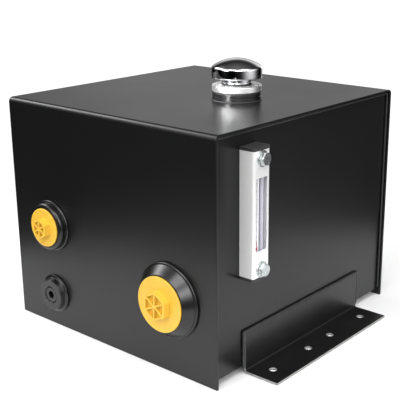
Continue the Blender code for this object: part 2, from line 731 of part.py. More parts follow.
def gauge_sight_tube(look):
    half = GAUGE_PITCH / 2 - BOLT_RADIUS - 3 * MM
    profile = [(TUBE_RADIUS, half), (TUBE_RADIUS, -half), (TUBE_BORE, -half), (TUBE_BORE, half)]
    out, along = TUBE_AT
    return turned("gauge_sight_tube", profile, look,
                  (SIDE_X + out, GAUGE_Y + along, GAUGE_Z), steps=SMALL_ROUND, ring=True)


def gauge_scale_plate(look):
    """A printed strip beside the tube, held between the end blocks."""
    front_edge = GAUGE_WALL + GAP - GAUGE_WIDTH / 2
    return gauge_box("gauge_scale_plate", look, SCALE_FACE - SCALE_THICKNESS, SCALE_FACE,
                     SCALE_EDGE - front_edge, 2 * (BLOCK_INNER - GAP),
                     shift_y=(SCALE_EDGE + front_edge) / 2)


def thermometer_glass(look):
    """A tube with a wider bulb at its foot, open at both ends."""
    half = GAUGE_WINDOW[1] / 2
    neck = BULB_LENGTH - half
    profile = [(0.9 * MM, half), (0.9 * MM, neck), (1.4 * MM, neck - 0.7 * MM), (1.4 * MM, -half),
               (1.1 * MM, -half), (1.1 * MM, neck - 0.9 * MM), (0.6 * MM, neck), (0.6 * MM, half)]
    return turned("thermometer_glass", profile, look, THERMOMETER, steps=16, ring=True)


def thermometer_column(look):
    """The red liquid in the bulb and in the foot of the tube."""
    low = GAP - GAUGE_WINDOW[1] / 2
    neck = low + BULB_LENGTH - 1.6 * MM
    profile = [(0, neck + 7 * MM), (0.3 * MM, neck + 7 * MM), (0.3 * MM, neck),
               (0.8 * MM, neck - 1 * MM), (0.8 * MM, low), (0, low)]
    return turned("thermometer_column", profile, look, THERMOMETER, steps=12)


def at_bolt(side):
    """Location and rotation of a piece at a bolt, its local Z out from the side plate."""
    return (SIDE_X, GAUGE_Y, GAUGE_Z + side * GAUGE_PITCH / 2), TOWARDS_RIGHT


def bolt_ring(name, side, radius, low, high, look):
    bore = BOLT_RADIUS + GAP
    profile = [(radius, high), (radius, low), (bore, low), (bore, high)]
    return turned(name, profile, look, *at_bolt(side), steps=SMALL_ROUND, ring=True)


def gauge_bolt(name, side, look):
    """A hexagon bolt through the gauge and the side plate, its head chamfered."""
    top = HEAD_FACE + BOLT_HEAD_HEIGHT
    low, shank_top = -14 * MM, HEAD_FACE + 2 * MM
    shank = rod_mesh(name, BOLT_RADIUS, shank_top - low, SMALL_ROUND,
                     (0, 0, (low + shank_top) / 2))
    item = place(name, shank, look, *at_bolt(side))
    hexagon = rod_mesh(name + "_head", HEX_RADIUS, BOLT_HEAD_HEIGHT, 6,
                       (0, 0, HEAD_FACE + BOLT_HEAD_HEIGHT / 2))
    head = place(name + "_head", hexagon, None, *at_bolt(side))
    chamfer = BOLT_HEAD_FLATS / 2 * 0.94
    tall = BOLT_HEAD_HEIGHT + 1 * MM
    cone = rod_mesh(name + "_chamfer", chamfer + tall / CHAMFER_SLOPE, tall, 36,
                    (0, 0, top - tall / 2), chamfer)
    cut(head, place(name + "_chamfer", cone, None, *at_bolt(side)), "INTERSECT")
    return cut(item, head, "UNION")


def gauge_nut(name, side, look):
    back = -SHEET - GAP
    nut = rod_mesh(name, HEX_RADIUS, 8 * MM, 6, (0, 0, back - 4 * MM))
    return gauge_bore(place(name, nut, look, *at_bolt(side)), side, BOLT_RADIUS + GAP)


def build_tank():
    wrapper_shell(black_paint("wrapper_paint"))
    right_side_plate(black_paint("right_side_paint"))
    side_plate("left_side_plate", -1, black_paint("left_side_paint"))
    bottom_plate(black_paint("bottom_paint"))
    baffle_plate(material("baffle_steel", (0.18, 0.18, 0.19), 0.5, 0.8))
    mount_angle("right_mount_angle", 1, black_paint("right_angle_paint"))
    mount_angle("left_mount_angle", -1, black_paint("left_angle_paint"))
    for hand, side in (("right", 1), ("left", -1)):
        seam_weld(hand + "_seam_weld", side, black_paint(hand + "_seam_weld_paint"))
        for place_name, end in (("front", -1), ("rear", 1)):
            name = f"{hand}_angle_{place_name}_weld"
            angle_weld(name, side, end, black_paint(name + "_paint"))


def build_ports():
    suction_bung(black_paint("suction_bung_paint"))
    suction_plug(yellow_plastic("suction_plug_plastic"))
    return_bung(black_paint("return_bung_paint"))
    return_plug(yellow_plastic("return_plug_plastic"))
    drain_bung(black_paint("drain_bung_paint"))
    drain_plug(black_paint("drain_plug_paint"))
    drain_magnet(bright_steel("magnet_nickel"))


def build_filler():
    filler_neck(black_paint("neck_paint"))
    neck_weld(black_paint("neck_weld_paint"))
    neck_gasket(black_rubber("neck_gasket_rubber"))
    filler_flange(bright_steel("flange_steel"))
    for index, x, y in screw_places():
        flange_screw(f"flange_screw_{index + 1}", x, y, zinc(f"flange_screw_{index + 1}_zinc"))
    strainer_basket(zinc("basket_zinc"))
    cap_gasket(black_rubber("cap_gasket_rubber"))
    cap_waist(chrome("waist_chrome"))
    filter_retainer(zinc("retainer_zinc"))
    breather_element(material("element_foam", (0.55, 0.48, 0.36), 0.9))
    breather_cap(chrome("cap_chrome"))
    cap_rivet(zinc("rivet_zinc"))


def build_gauge():
    gauge_housing(material("housing_silver", (0.85, 0.85, 0.84), 0.35, 0.3))
    gauge_cap("gauge_top_cap", 1, 0.6 * MM, material("top_cap_plastic", (0.09, 0.09, 0.09), 0.4))
    gauge_cap("gauge_bottom_cap", -1, 0, material("bottom_cap_plastic", (0.09, 0.09, 0.09), 0.4))
    gauge_sight_tube(material("tube_clear", (0.82, 0.80, 0.90), 0.05, 0.0, 0.9))
    gauge_scale_plate(material("scale_white", (0.90, 0.90, 0.92), 0.5))
    thermometer_glass(material("thermometer_clear", (0.90, 0.90, 0.95), 0.05, 0.0, 0.9))
    thermometer_column(material("thermometer_red", (0.65, 0.03, 0.14), 0.3))
    for level, side in (("upper", 1), ("lower", -1)):
        gauge_end_block(f"gauge_{level}_block", side,
                        material(level + "_block_plastic", (0.75, 0.75, 0.78), 0.3))
        gauge_bolt(f"gauge_{level}_bolt", side, zinc(level + "_bolt_zinc"))
        bolt_ring(f"gauge_{level}_washer", side, WASHER_RADIUS, WASHER_FACE,
                  WASHER_FACE + WASHER_THICKNESS, zinc(level + "_washer_zinc"))
        bolt_ring(f"gauge_{level}_seal", side, 8.4 * MM, GAP, 2.1 * MM,
                  black_rubber(level + "_seal_rubber"))
        gauge_nut(f"gauge_{level}_nut", side, zinc(level + "_nut_zinc"))


clear_scene()
PARTS = collection("hydraulic_reservoir")
CUTTERS = collection("cutters")
build_tank()
build_ports()
build_filler()
build_gauge()
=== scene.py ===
"""Looks of the side-mount hydraulic reservoir: black tank, yellow port plugs, chrome breather
cap, silver level gauge, on a pale floor in soft studio light."""

import math

import bmesh
import bpy
from mathutils import Matrix, Vector


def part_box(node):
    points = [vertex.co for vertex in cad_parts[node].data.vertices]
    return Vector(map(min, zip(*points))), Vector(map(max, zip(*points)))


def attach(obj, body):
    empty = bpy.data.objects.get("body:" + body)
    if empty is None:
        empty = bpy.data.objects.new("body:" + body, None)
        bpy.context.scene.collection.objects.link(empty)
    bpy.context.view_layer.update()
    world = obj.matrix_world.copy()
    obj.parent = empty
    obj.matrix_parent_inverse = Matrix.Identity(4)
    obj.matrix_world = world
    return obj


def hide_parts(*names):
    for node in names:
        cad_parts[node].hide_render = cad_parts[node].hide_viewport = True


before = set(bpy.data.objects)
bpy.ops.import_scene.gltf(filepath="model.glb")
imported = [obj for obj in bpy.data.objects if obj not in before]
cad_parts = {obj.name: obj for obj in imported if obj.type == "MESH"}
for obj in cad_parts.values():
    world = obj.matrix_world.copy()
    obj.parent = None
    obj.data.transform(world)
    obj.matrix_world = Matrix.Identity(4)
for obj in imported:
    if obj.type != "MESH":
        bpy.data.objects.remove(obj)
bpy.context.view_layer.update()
MM = 0.001

# ---------------------------------------------------------------- materials


def add(tree, kind, **settings):
    """A shader node with its properties and its inputs set by name."""
    node = tree.nodes.new("ShaderNode" + kind)
    for key, value in settings.items():
        if hasattr(node, key):
            setattr(node, key, value)
        else:
            node.inputs[key.replace("_", " ")].default_value = value
    return node


def noise(tree, position, scale, detail=3.0, stretch=None, shift=0.0):
    """A grey noise from 0 to 1 over the piece's own coordinates, in cells per metre."""
    if stretch or shift:
        scaled = add(tree, "Mapping")
        scaled.inputs["Scale"].default_value = stretch or (1, 1, 1)
        scaled.inputs["Location"].default_value = (shift, shift * 0.7, shift * 1.3)
        tree.links.new(position, scaled.inputs["Vector"])
        position = scaled.outputs["Vector"]
    node = add(tree, "TexNoise", Scale=scale, Detail=detail, Roughness=0.55)
    tree.links.new(position, node.inputs["Vector"])
    return node.outputs["Fac"]


def ranged(tree, value, low, high, start=0.3, end=0.7):
    """A value from start to end, spread over low to high."""
    node = add(tree, "MapRange")
    node.inputs["From Min"].default_value = start
    node.inputs["From Max"].default_value = end
    node.inputs["To Min"].default_value = low
    node.inputs["To Max"].default_value = high
    tree.links.new(value, node.inputs["Value"])
    return node.outputs["Result"]


def blended(tree, share, first, second):
    """A colour between two, each a socket or an (r, g, b)."""
    node = add(tree, "Mix", data_type="RGBA")
    tree.links.new(share, node.inputs["Factor"])
    sockets = [s for s in node.inputs if s.type == "RGBA"]
    for socket, value in zip(sockets, (first, second)):
        if isinstance(value, tuple):
            socket.default_value = (*value, 1)
        else:
            tree.links.new(value, socket)
    return [s for s in node.outputs if s.type == "RGBA"][0]


GRAIN_LIFT = 1.18                       # how much lighter the fine grain is than the tones
UNEVEN = 2.7                            # cells of roughness to one cell of colour


def surface(name, tones, rough, bumps=(), cloud=9.0, grain=600.0, metallic=0.0, streaks=None,
            specks=None, **fixed):
    """A node material. Its colour drifts between two tones, its roughness between two values,
    and its bumps are (cells per metre, height, stretch) noises. specks is (cells per metre,
    colour, share), and fixed holds other inputs of the shader."""
    material = bpy.data.materials.new(name)
    material.use_nodes = True
    tree = material.node_tree
    shader = tree.nodes["Principled BSDF"]
    shader.inputs["Metallic"].default_value = metallic
    for socket, value in fixed.items():
        shader.inputs[socket.replace("_", " ")].default_value = value
    position = add(tree, "TexCoord").outputs["Object"]
    drift = noise(tree, position, cloud, 4.0, streaks)
    colour = blended(tree, ranged(tree, drift, 0, 1), *tones)
    # Each noise has its own shift, so that no two line up
    fine = noise(tree, position, grain, 2.0, streaks, 3.1)
    lifted = tuple(min(1.0, c * GRAIN_LIFT) for c in tones[1])
    colour = blended(tree, ranged(tree, fine, 0, 0.5, 0.45, 0.8), colour, lifted)
    if specks:
        scale, tint, share = specks
        dots = noise(tree, position, scale, 1.0, None, 7.7)
        colour = blended(tree, ranged(tree, dots, 0, 1, 1 - share, 1 - share * 0.7), colour, tint)
    tree.links.new(colour, shader.inputs["Base Color"])
    uneven = noise(tree, position, cloud * UNEVEN, 5.0, streaks, 1.7)
    tree.links.new(ranged(tree, uneven, *rough), shader.inputs["Roughness"])
    normal = None
    for scale, height, stretch in bumps:
        bump = add(tree, "Bump")
        bump.inputs["Distance"].default_value = height
        tree.links.new(noise(tree, position, scale, 3.0, stretch, scale * 0.01),
                       bump.inputs["Height"])
        if normal:
            tree.links.new(normal, bump.inputs["Normal"])
        normal = bump.outputs["Normal"]
    if normal:
        tree.links.new(normal, shader.inputs["Normal"])
    return material


DUST = (0.05, 0.05, 0.052)
PEEL = (650, 7e-6, None)
LOOKS = {
    "paint": surface("paint", ((0.0045, 0.0045, 0.005), (0.0065, 0.0065, 0.007)), (0.295, 0.315),
                     [(3.5, 9e-4, None), PEEL], cloud=5, specks=(900, DUST, 0.22),
                     Specular_IOR_Level=0.42),
    "edge_paint": surface("edge_paint", ((0.005, 0.005, 0.0055), (0.009, 0.009, 0.0095)),
                          (0.30, 0.32), [PEEL], cloud=30),
    "gloss_paint": surface("gloss_paint", ((0.004, 0.004, 0.0045), (0.006, 0.006, 0.0065)),
                           (0.24, 0.26), [PEEL], cloud=25),
    # painted highlight: light grey for the angles' cut edges and holes, in place of the light that
    # they catch
    "painted_edge_highlight": surface("painted_edge_highlight", ((0.20, 0.20, 0.20), (0.34, 0.34, 0.335)), (0.4, 0.55),
                        [(500, 6e-6, None)], cloud=70, metallic=0.2),
    "weld": surface("weld", ((0.012, 0.012, 0.0125), (0.03, 0.03, 0.03)), (0.34, 0.5),
                    [(900, 3e-5, None)], cloud=120),
    "yellow": surface("yellow", ((0.64, 0.38, 0.034), (0.69, 0.425, 0.044)), (0.36, 0.46),
                      [(500, 8e-6, None), (40, 3e-5, None)], cloud=40, grain=900,
                      Subsurface_Weight=0.12, Subsurface_Scale=0.002),
    "chrome": surface("chrome", ((0.72, 0.72, 0.74), (0.80, 0.80, 0.82)), (0.03, 0.07),
                      [(25, 1.2e-5, None), (1500, 4e-7, None)], cloud=30, metallic=1.0),
    "bright_steel": surface("bright_steel", ((0.84, 0.84, 0.84), (0.93, 0.93, 0.92)),
                            (0.36, 0.46), [(60, 3e-6, (1, 1, 30))], cloud=30, metallic=1.0,
                            streaks=(1, 1, 25)),
    "zinc": surface("zinc", ((0.50, 0.53, 0.54), (0.72, 0.75, 0.75)), (0.18, 0.36),
                    [(900, 5e-6, None)], cloud=160, metallic=1.0),
    "rubber": surface("rubber", ((0.010, 0.010, 0.010), (0.022, 0.022, 0.021)), (0.55, 0.75),
                      [(1200, 1e-5, None)], cloud=60),
    "bare_steel": surface("bare_steel", ((0.20, 0.19, 0.19), (0.34, 0.34, 0.35)), (0.35, 0.6),
                          [(300, 1e-5, None)], cloud=14, metallic=1.0),
    "magnet": surface("magnet", ((0.6, 0.58, 0.54), (0.72, 0.70, 0.66)), (0.12, 0.25),
                      [(900, 3e-6, None)], cloud=90, metallic=1.0),
    "foam": surface("foam", ((0.30, 0.25, 0.17), (0.55, 0.47, 0.34)), (0.85, 0.98),
                    [(450, 4e-4, None)], cloud=250),
    "silver": surface("silver", ((0.91, 0.91, 0.905), (0.95, 0.95, 0.945)), (0.28, 0.36),
                      [(60, 6e-6, (14, 14, 0.6)), (900, 3e-6, None)], cloud=14, metallic=0.35,
                      streaks=(10, 10, 0.5)),
    "grey_plastic": surface("grey_plastic", ((0.022, 0.022, 0.023), (0.034, 0.034, 0.035)),
                            (0.4, 0.52), [(1000, 1e-5, None)], cloud=60),
    "block": surface("block", ((0.62, 0.62, 0.66), (0.72, 0.72, 0.76)), (0.25, 0.35),
                     [(300, 4e-6, None)], cloud=60),
    "scale": surface("scale", ((0.80, 0.80, 0.83), (0.88, 0.88, 0.90)), (0.4, 0.5),
                     [(500, 3e-6, None)], cloud=50),
    "print": surface("print", ((0.10, 0.10, 0.12), (0.16, 0.16, 0.18)), (0.45, 0.6),
                     [(900, 2e-6, None)], cloud=200),
    "red": surface("red", ((0.55, 0.02, 0.06), (0.72, 0.04, 0.10)), (0.15, 0.25),
                   [(400, 2e-6, None)], cloud=90),
    "glass": surface("glass", ((0.93, 0.93, 0.95), (0.97, 0.97, 0.98)), (0.02, 0.05),
                     [(60, 3e-6, (1, 1, 0.2))], cloud=40, Transmission_Weight=0.97, IOR=1.3),
    "clear": surface("clear", ((0.66, 0.64, 0.76), (0.76, 0.74, 0.85)), (0.05, 0.12),
                     [(60, 6e-6, (1, 1, 0.2))], cloud=40, Transmission_Weight=0.3, IOR=1.49),
}

# ---------------------------------------------------------------- mesh tools

SMOOTH_BELOW = 35                       # degrees between faces that still shade as one
SHARP_ABOVE = math.radians(50)          # edges of a prism that are rounded

def arc_line(corners, step=math.radians(11)):
    """2-D points through corners (a, b) or (a, b, rounding radius)."""
    points = []
    for index, corner in enumerate(corners):
        here = Vector(corner[:2])
        if len(corner) < 3:
            points.append(here)
            continue
        before = (Vector(corners[index - 1][:2]) - here).normalized()
        after = (Vector(corners[(index + 1) % len(corners)][:2]) - here).normalized()
        half = before.angle(after) / 2
        centre = here + (before + after).normalized() * (corner[2] / math.sin(half))
        start = here + before * (corner[2] / math.tan(half)) - centre
        sweep = math.pi - 2 * half
        sign = 1 if before.cross(after) < 0 else -1
        count = max(2, math.ceil(sweep / step))
        for part in range(count + 1):
            points.append(centre + Matrix.Rotation(sign * sweep * part / count, 2) @ start)
    return points


def to_mesh(bm, name, angle=SMOOTH_BELOW):
    bmesh.ops.recalc_face_normals(bm, faces=bm.faces)
    mesh = bpy.data.meshes.new(name)
    bm.to_mesh(mesh)
    bm.free()
    mesh.shade_smooth()
    mesh.set_sharp_from_angle(angle=math.radians(angle))
    return mesh


def lathe(name, corners, steps=128, closed=True):
    """A solid turned about Z from (radius, height, rounding) corners in millimetres."""
    bm = bmesh.new()
    rings = []
    for radius, height in arc_line(corners):
        if radius < 1e-6:
            rings.append([bm.verts.new((0, 0, height * MM))])
            continue
        rings.append([bm.verts.new((radius * MM * math.cos(math.tau * turn / steps),
                                    radius * MM * math.sin(math.tau * turn / steps),
                                    height * MM)) for turn in range(steps)])
    following = rings[1:] + rings[:1] if closed else rings[1:]
    for first, second in zip(rings, following):
        for turn in range(steps):
            other = turn + 1
            corners_here = [first[turn % len(first)], first[other % len(first)],
                            second[other % len(second)], second[turn % len(second)]]
            bm.faces.new(dict.fromkeys(corners_here))
    return to_mesh(bm, name)


def prism(name, outline, low, high, place_point, edge=0.0, taper=1.0, segments=2):
    """A closed outline drawn from low to high. place_point turns (a, b, t) into a position,
    edge is the rounding of the sharp edges in metres, and taper shrinks the high end."""
    bm = bmesh.new()
    bottom = [bm.verts.new(place_point(a, b, low)) for a, b in outline]
    top = [bm.verts.new(place_point(a * taper, b * taper, high)) for a, b in outline]
    for index in range(len(outline)):
        after = (index + 1) % len(outline)
        bm.faces.new((bottom[index], bottom[after], top[after], top[index]))
    bm.faces.new(bottom)
    bm.faces.new(top)
    bmesh.ops.recalc_face_normals(bm, faces=bm.faces)
    if edge:
        sharp = [e for e in bm.edges if e.calc_face_angle(0) > SHARP_ABOVE]
        bmesh.ops.bevel(bm, geom=sharp, offset=edge, segments=segments, profile=0.5,
                        affect="EDGES", clamp_overlap=True)
    return to_mesh(bm, name)


def upright(a, b, t):
    """A place_point for outlines in millimetres in X and Y, drawn along Z."""
    return Vector((a, b, t)) * MM


def rounded_box(name, size, centre=(0, 0, 0), corner=0.0, edge=0.3):
    """A box in millimetres with rounded upright edges and softened rims."""
    wide, deep, tall = (v / 2 for v in size)
    corners = [(-wide, -deep), (wide, -deep), (wide, deep), (-wide, deep)]
    outline = arc_line([(*c, corner) for c in corners] if corner else corners)
    mesh = prism(name, outline, -tall, tall, upright, edge * MM)
    mesh.transform(Matrix.Translation(Vector(centre) * MM))
    return mesh


def item_of(name, mesh, where=(0, 0, 0), turn=(0, 0, 0)):
    item = bpy.data.objects.new(name, mesh)
    item.location = where
    item.rotation_euler = turn
    bpy.context.scene.collection.objects.link(item)
    return item


def even_normals(item):
    shade = item.modifiers.new("Even", "WEIGHTED_NORMAL")
    shade.keep_sharp = True
    shade.weight = 100


def settle(item):
    """Applies an item's modifiers."""
    graph = bpy.context.evaluated_depsgraph_get()
    mesh = bpy.data.meshes.new_from_object(item.evaluated_get(graph))
    item.modifiers.clear()
    item.data = mesh


def carve(item, *cutters, operation="DIFFERENCE"):
    """Cuts meshes, given in the item's own coordinates, out of the item."""
    helpers = []
    for mesh in cutters:
        helper = item_of("cutter", mesh, item.location, item.rotation_euler)
        helpers.append(helper)
        boolean = item.modifiers.new("Cut", "BOOLEAN")
        boolean.operation = operation
        boolean.solver = "EXACT"
        boolean.object = helper
    bpy.context.view_layer.update()
    settle(item)
    for helper in helpers:
        bpy.data.objects.remove(helper)
    item.data.shade_smooth()
    item.data.set_sharp_from_angle(angle=math.radians(SMOOTH_BELOW))


def soften(item, width, segments=2, angle=45):
    """Rounds the sharp edges left by a cut."""
    bevel = item.modifiers.new("Soften", "BEVEL")
    bevel.width = width * MM
    bevel.segments = segments
    bevel.limit_method = "ANGLE"
    bevel.angle_limit = math.radians(angle)
    bevel.use_clamp_overlap = True
    bevel.miter_outer = "MITER_ARC"


def show(item, look, body, slot, *nodes):
    """Gives a new piece its finish, its body and the CAD nodes that it stands for."""
    item.data.materials.clear()
    item.data.materials.append(LOOKS[look])
    even_normals(item)
    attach(item, body)
    if nodes:
        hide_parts(*nodes)
    return item


def middle(node):
    low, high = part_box(node)
    return (low + high) / 2


# ---------------------------------------------------------------- tank

WRAP_LOW, WRAP_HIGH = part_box("wrapper_shell")
FRONT, REAR, TOP = WRAP_LOW.y, WRAP_HIGH.y, WRAP_HIGH.z
SHEET = 3.0                             # the steel's thickness, mm
BEND_STEP = math.radians(7.5)
TO_FRONT = (math.radians(90), 0, 0)
TO_RIGHT = (0, math.radians(90), 0)


def prism_strip(name, outer, inner, low, high, place_point, edge):
    """Bent sheet between an outer and an inner line, drawn from low to high."""
    bm = bmesh.new()
    ends = []
    for t in (low, high):
        ends.append(([bm.verts.new(place_point(*p, t)) for p in outer],
                     [bm.verts.new(place_point(*p, t)) for p in inner]))
    (o0, i0), (o1, i1) = ends
    for k in range(len(outer) - 1):
        bm.faces.new((o0[k], o0[k + 1], o1[k + 1], o1[k]))
        bm.faces.new((i0[k + 1], i0[k], i1[k], i1[k + 1]))
        bm.faces.new((o0[k + 1], o0[k], i0[k], i0[k + 1]))
        bm.faces.new((o1[k], o1[k + 1], i1[k + 1], i1[k]))
    for k in (0, -1):
        bm.faces.new((o0[k], o1[k], i1[k], i0[k]))
    bmesh.ops.recalc_face_normals(bm, faces=bm.faces)
    sharp = [e for e in bm.edges if e.calc_face_angle(0) > SHARP_ABOVE]
    bmesh.ops.bevel(bm, geom=sharp, offset=edge * MM, segments=3, profile=0.5, affect="EDGES")
    return to_mesh(bm, name)


def bent_lines(corners, offsets, bend):
    """The outer and inner lines of a bent sheet from its outer and inner corners."""
    lines = []
    for points, radius in ((corners, bend), (offsets, bend - SHEET)):
        rounded = [points[0]] + [(*p, radius) for p in points[1:-1]] + [points[-1]]
        lines.append(arc_line(rounded, BEND_STEP))
    return lines


def tank_wrapper():
    front, rear, top = FRONT / MM, REAR / MM, TOP / MM
    outer, inner = bent_lines(
        [(front, 0), (front, top), (rear, top), (rear, 0)],
        [(front + SHEET, 0), (front + SHEET, top - SHEET), (rear - SHEET, top - SHEET),
         (rear - SHEET, 0)], 6)
    mesh = prism_strip("tank_wrapper", outer, inner, WRAP_LOW.x / MM, WRAP_HIGH.x / MM,
                       lambda a, b, t: Vector((t, a, b)) * MM, 0.45)
    item = item_of("tank_wrapper", mesh)
    quarter = Matrix.Rotation(math.radians(90), 4, "X")
    holes = []
    for node, radius, turn in (("suction_bung", 35.8, quarter), ("return_bung", 26.3, quarter),
                               ("drain_bung", 16.3, quarter),
                               ("filler_neck", 24.8, Matrix.Identity(4))):
        hole = lathe("hole", [(0, -10), (radius, -10), (radius, 10), (0, 10)], 96, False)
        at = middle(node)
        place_at = (at.x, at.y, TOP) if node == "filler_neck" else (at.x, FRONT, at.z)
        hole.transform(Matrix.Translation(place_at) @ turn)
        holes.append(hole)
    carve(item, *holes)
    return show(item, "paint", "tank", "black_paint", "wrapper_shell")


HOLES_ALONG = (-95.25, -23.8, 23.8, 95.25)     # an angle's holes from its middle, mm
HOLES_OUT = 0.1675 + 0.0255             # from the middle plane: side plate, hole line, metres
HOLES_BAND = (34, 12)                   # where the holes lie, mm in from the long edge
EDGE_DEPTH = 0.2                        # faces this near to a cut edge belong to it, mm


def paint_edge_highlights(item, centre_y, half, side, reach):
    """Paints an angle's cut ends, its long edge and its holes light grey, as a painted highlight.
    """
    item.data.materials.append(LOOKS["painted_edge_highlight"])
    for face in item.data.polygons:
        at, out = face.center, side * face.center.x / MM
        end = abs(at.y - centre_y) > half - EDGE_DEPTH * MM
        long_edge = out > reach - EDGE_DEPTH
        wall = abs(face.normal.z) < 0.5 and at.z < SHEET * MM
        in_hole = wall and reach - HOLES_BAND[0] < out < reach - HOLES_BAND[1]
        if end or long_edge or in_hole:
            face.material_index = 1


def mount_angle(node):
    """A mounting angle: an upright leg on the side plate and a flat leg with four holes."""
    low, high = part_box(node)
    side = 1 if low.x > 0 else -1
    near, far = (low.x, high.x) if side > 0 else (high.x, low.x)
    near, far, up = near / MM, far / MM, high.z / MM
    step = side * SHEET
    outer, inner = bent_lines([(near, up), (near, 0), (far, 0)],
                              [(near + step, up), (near + step, SHEET), (far, SHEET)], 5)
    mesh = prism_strip(node + "_bent", outer, inner, low.y / MM, high.y / MM,
                       lambda a, b, t: Vector((a, t, b)) * MM, 0.8)
    item = item_of(node + "_bent", mesh)
    centre_y = (low.y + high.y) / 2
    holes = []
    for along in HOLES_ALONG:
        hole = lathe("hole", [(0, -3), (5.6, -3), (5.6, -0.55), (4.6, 0.45), (4.6, 2.55),
                              (5.1, 3.05), (5.6, 3.6), (5.6, 6), (0, 6)], 48, False)
        hole.transform(Matrix.Translation((side * HOLES_OUT, centre_y + along * MM, 0)))
        holes.append(hole)
    carve(item, *holes)
    show(item, "edge_paint", "tank", "black_paint", node)
    paint_edge_highlights(item, centre_y, (high.y - low.y) / 2, side, side * far)
    return item


def bead(name, path, radius, pitch):
    """A weld bead along a path in metres: a tube with a ripple every pitch."""
    points = [Vector(p) for p in path]
    lengths = [0.0]
    for a, b in zip(points, points[1:]):
        lengths.append(lengths[-1] + (b - a).length)
    count = int(lengths[-1] / (pitch * MM / 4))
    blunt = 0.35                        # the radius at the two ends, as a share
    bm = bmesh.new()
    rings = []
    around = 12
    segment = 0
    side = Vector((1, 0, 0)) if abs(points[0].x - points[-1].x) < 1e-6 else Vector((0, 0, 1))
    for index in range(count + 1):
        s = lengths[-1] * index / count
        while segment < len(lengths) - 2 and s > lengths[segment + 1]:
            segment += 1
        share = (s - lengths[segment]) / (lengths[segment + 1] - lengths[segment])
        centre = points[segment].lerp(points[segment + 1], share)
        along = (points[segment + 1] - points[segment]).normalized()
        if along.cross(side).length < 0.5:
            side = Vector((0, 1, 0))
        across = along.cross(side).normalized()
        from_end = min(s, lengths[-1] - s)
        fade = min(1.0, blunt + from_end / (2 * radius * MM))
        ring = []
        for turn in range(around):
            angle = math.tau * turn / around
            phase = (s / (pitch * MM) + 0.3 * math.cos(angle) ** 2) % 1.0
            wobble = 0.03 * math.sin(s * 410 + angle)
            scale = 0.83 + 0.14 * math.sqrt(1 - phase) + wobble
            swell = radius * MM * fade * scale
            ring.append(bm.verts.new(centre + (side * math.cos(angle)
                                               + across * math.sin(angle)) * swell))
        rings.append(ring)
    for first, second in zip(rings, rings[1:]):
        for turn in range(around):
            other = (turn + 1) % around
            bm.faces.new((first[turn], first[other], second[other], second[turn]))
    bm.faces.new(rings[0])
    bm.faces.new(rings[-1])
    return to_mesh(bm, name, 60)


def seam_bead(node):
    """The weld along a side plate's edge, up the front, over the top and down the rear."""
    low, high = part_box(node)
    x = (low.x + high.x) / 2
    inset = 1.4 * MM
    front, rear, top, foot = low.y + inset, high.y - inset, high.z - inset, low.z + inset
    turn = 2.7 * MM
    path = [(x, front, foot)]
    for centre_y, first in ((front + turn, 180), (rear - turn, 90)):
        for step in range(7):
            angle = math.radians(first - 90 * step / 6)
            path.append((x, centre_y + turn * math.cos(angle),
                         top - turn + turn * math.sin(angle)))
    path.append((x, rear, foot))
    item = item_of(node + "_bead", bead(node + "_bead", path, 1.38, 2.6))
    return show(item, "weld", "tank", "black_paint", node)


def angle_bead(node):
    """The weld up one end of an angle's upright leg, and along its top to the middle."""
    low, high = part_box(node)
    x, y = (low.x + high.x) / 2, (low.y + high.y) / 2
    leg_low, leg_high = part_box(node.split("_")[0] + "_mount_angle")
    gap = (0.05 if y > 0 else -0.05) * MM
    half_way = (leg_low.y + leg_high.y) / 2 + gap
    top = leg_high.z + 0.9 * MM
    path = [(x, y, low.z), (x, y, top), (x, half_way, top)]
    item = item_of(node + "_bead", bead(node + "_bead", path, 1.9, 3.4))
    return show(item, "weld", "tank", "black_paint", node)


# ---------------------------------------------------------------- ports


def port_item(name, node, mesh):
    """A piece turned about a port's axis, with its heights measured out from the front."""
    centre = middle(node)
    return item_of(name, mesh, (centre.x, FRONT, centre.z), TO_FRONT)


def suction_port():
    mesh = lathe("suction_bung_turned", [
        (34.4, 15.0, 0.8), (43.4, 4.7, 0.5), (43.4, 3.7, 0.3), (45.7, 3.7, 2.0),
        (45.7, 0.3, 0.2), (35.5, 0.3), (35.5, -9), (30.15, -9), (30.15, 14, 0.3),
        (31.15, 15.0, 0.3)], 160)
    item = port_item("suction_bung_turned", "suction_bung", mesh)
    return show(item, "gloss_paint", "tank", "black_paint", "suction_bung")


def return_port():
    mesh = lathe("return_bung_turned", [
        (30.4, 11.7, 4.2), (30.4, 4.5, 0.3), (29.8, 3.6, 0.3), (32.8, 3.6, 1.9),
        (32.8, 0.3, 0.2), (26, 0.3), (26, -9), (21.1, -9), (21.1, 10.7, 0.3),
        (22.1, 11.7, 0.3)], 144)
    item = port_item("return_bung_turned", "return_bung", mesh)
    return show(item, "gloss_paint", "tank", "black_paint", "return_bung")


def drain_port():
    mesh = lathe("drain_bung_turned", [
        (19.8, 9.6, 0.9), (21.6, 3.6, 0.8), (24.9, 2.2, 0.8), (24.9, 0.3, 0.2), (16, 0.3),
        (16, -9), (10.65, -9), (10.65, 8.6, 0.3), (11.65, 9.6, 0.3)], 128)
    item = port_item("drain_bung_turned", "drain_bung", mesh)
    show(item, "gloss_paint", "tank", "black_paint", "drain_bung")
    plug = lathe("drain_plug_turned", [(0, 8.8), (10.35, 8.8, 1.1), (9.9, -7, 0.5), (0, -7)],
                 96, False)
    item = port_item("drain_plug_turned", "drain_bung", plug)
    socket = arc_line([(5.48 * math.cos(math.tau * k / 6), 5.48 * math.sin(math.tau * k / 6), 0.4)
                       for k in range(6)])
    flare = lathe("flare", [(0, 8.1), (4.6, 8.1), (6.0, 9.5), (0, 9.5)], 6, False)
    carve(item, prism("socket", socket, 0.8, 12, upright), flare)
    soften(item, 0.2)
    return show(item, "gloss_paint", "drain_plug", "black_paint", "drain_plug")


